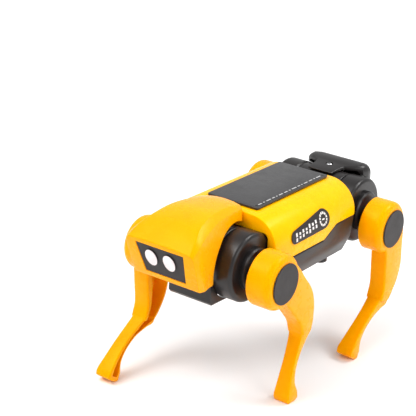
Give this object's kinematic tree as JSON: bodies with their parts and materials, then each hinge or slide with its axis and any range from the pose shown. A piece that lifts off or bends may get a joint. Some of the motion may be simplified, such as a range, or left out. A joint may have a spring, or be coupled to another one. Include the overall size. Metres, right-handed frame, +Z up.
{
  "type": "solar robot dog kit",
  "caption": "Four-legged solar toy robot: yellow hooded head and shell, black hip drums, roof panel, and worm-driven cranks that rock loose swinging legs.",
  "frame": {"origin": "centre of the bounding box's base, on the floor under the belly", "axes": "-Y is the way the nose points, +X is the dog's left side, +Z is up"},
  "size_m": [0.0984, 0.1888, 0.1106],
  "materials": {
    "yellow_plastic": "satin injection-moulded yellow ABS",
    "black_plastic": "satin warm black ABS",
    "dark_label": "printed dark film and matt caps",
    "eye_white": "pearly white stickers",
    "solar_cell": "epoxy-coated dark solar cell",
    "silver_print": "printed silver bus line",
    "steel": "plated steel",
    "cream_plastic": "natural nylon",
    "red_insulation": "red wire insulation",
    "black_insulation": "black wire insulation"
  },
  "bodies": {
    "chassis": {"top_shell": "yellow_plastic", "head_shell": "yellow_plastic", "belly_tray": "black_plastic", "chin_plate": "black_plastic", "front_hip_frame": "black_plastic", "rear_hip_frame": "black_plastic", "rump_cover": "black_plastic", "motor_cradle": "black_plastic", "hip_drum_front_left": "black_plastic", "hip_drum_front_right": "black_plastic", "hip_drum_rear_left": "black_plastic", "hip_drum_rear_right": "black_plastic", "face_plate": "dark_label", "side_label_left": "dark_label", "side_label_right": "dark_label", "eye_left": "eye_white", "eye_right": "eye_white", "solar_panel": "solar_cell", "solar_bus_strip": "silver_print", "motor_can": "steel", "rump_screw": "steel", "belly_screw_1": "steel", "belly_screw_2": "steel", "belly_screw_3": "steel", "belly_screw_4": "steel", "motor_tail": "cream_plastic", "wire_red": "red_insulation", "wire_black": "black_insulation"},
    "motor_rotor": {"motor_shaft": "steel", "worm_front": "cream_plastic", "worm_rear": "cream_plastic"},
    "front_crank": {"front_axle": "steel", "worm_wheel_front": "cream_plastic", "crank_front_left": "black_plastic", "crank_front_right": "black_plastic", "leg_screw_front_left": "steel", "leg_screw_front_right": "steel"},
    "rear_crank": {"rear_axle": "steel", "worm_wheel_rear": "cream_plastic", "crank_rear_left": "black_plastic", "crank_rear_right": "black_plastic", "leg_screw_rear_left": "steel", "leg_screw_rear_right": "steel"},
    "carrier_front_left": {"leg_carrier_front_left": "cream_plastic"},
    "carrier_front_right": {"leg_carrier_front_right": "cream_plastic"},
    "carrier_rear_left": {"leg_carrier_rear_left": "cream_plastic"},
    "carrier_rear_right": {"leg_carrier_rear_right": "cream_plastic"},
    "leg_front_left": {"leg_front_left": "yellow_plastic", "leg_cap_front_left": "dark_label"},
    "leg_front_right": {"leg_front_right": "yellow_plastic", "leg_cap_front_right": "dark_label"},
    "leg_rear_left": {"leg_rear_left": "yellow_plastic", "leg_cap_rear_left": "dark_label"},
    "leg_rear_right": {"leg_rear_right": "yellow_plastic", "leg_cap_rear_right": "dark_label"}
  },
  "joints": [
    {"name": "front_axle_turn", "type": "hinge", "parent": "chassis", "child": "front_crank", "pos_m": [0, -0.04981, 0.0747], "axis": [1, 0, 0], "continuous": true},
    {"name": "rear_axle_turn", "type": "hinge", "parent": "chassis", "child": "rear_crank", "pos_m": [0, 0.06219, 0.0747], "axis": [1, 0, 0], "continuous": true},
    {"name": "motor_spin", "type": "hinge", "parent": "chassis", "child": "motor_rotor", "pos_m": [0, 0.00619, 0.0873], "axis": [0, 1, 0], "continuous": true},
    {"name": "carrier_front_left_guide", "type": "hinge", "parent": "front_crank", "child": "carrier_front_left", "pos_m": [0, -0.04981, 0.0763], "axis": [1, 0, 0], "continuous": true},
    {"name": "carrier_front_right_guide", "type": "hinge", "parent": "front_crank", "child": "carrier_front_right", "pos_m": [0, -0.04981, 0.0731], "axis": [1, 0, 0], "continuous": true},
    {"name": "carrier_rear_left_guide", "type": "hinge", "parent": "rear_crank", "child": "carrier_rear_left", "pos_m": [0, 0.06219, 0.0731], "axis": [1, 0, 0], "continuous": true},
    {"name": "carrier_rear_right_guide", "type": "hinge", "parent": "rear_crank", "child": "carrier_rear_right", "pos_m": [0, 0.06219, 0.0763], "axis": [1, 0, 0], "continuous": true},
    {"name": "leg_front_left_swing", "type": "hinge", "parent": "carrier_front_left", "child": "leg_front_left", "pos_m": [0.041, -0.04981, 0.0763], "axis": [1, 0, 0], "range_deg": [-45, 5]},
    {"name": "leg_front_right_swing", "type": "hinge", "parent": "carrier_front_right", "child": "leg_front_right", "pos_m": [-0.041, -0.04981, 0.0731], "axis": [1, 0, 0], "range_deg": [-8, 41.5]},
    {"name": "leg_rear_left_swing", "type": "hinge", "parent": "carrier_rear_left", "child": "leg_rear_left", "pos_m": [0.041, 0.06219, 0.0731], "axis": [1, 0, 0], "range_deg": [-8, 41.5]},
    {"name": "leg_rear_right_swing", "type": "hinge", "parent": "carrier_rear_right", "child": "leg_rear_right", "pos_m": [-0.041, 0.06219, 0.0763], "axis": [1, 0, 0], "range_deg": [-45, 5]}
  ],
  "couplings": [
    {"joint": "rear_axle_turn", "follows": "front_axle_turn", "ratio": 1},
    {"joint": "motor_spin", "follows": "front_axle_turn", "ratio": 16},
    {"joint": "carrier_front_left_guide", "follows": "front_axle_turn", "ratio": -1},
    {"joint": "carrier_front_right_guide", "follows": "front_axle_turn", "ratio": -1},
    {"joint": "carrier_rear_left_guide", "follows": "front_axle_turn", "ratio": -1},
    {"joint": "carrier_rear_right_guide", "follows": "front_axle_turn", "ratio": -1}
  ]
}
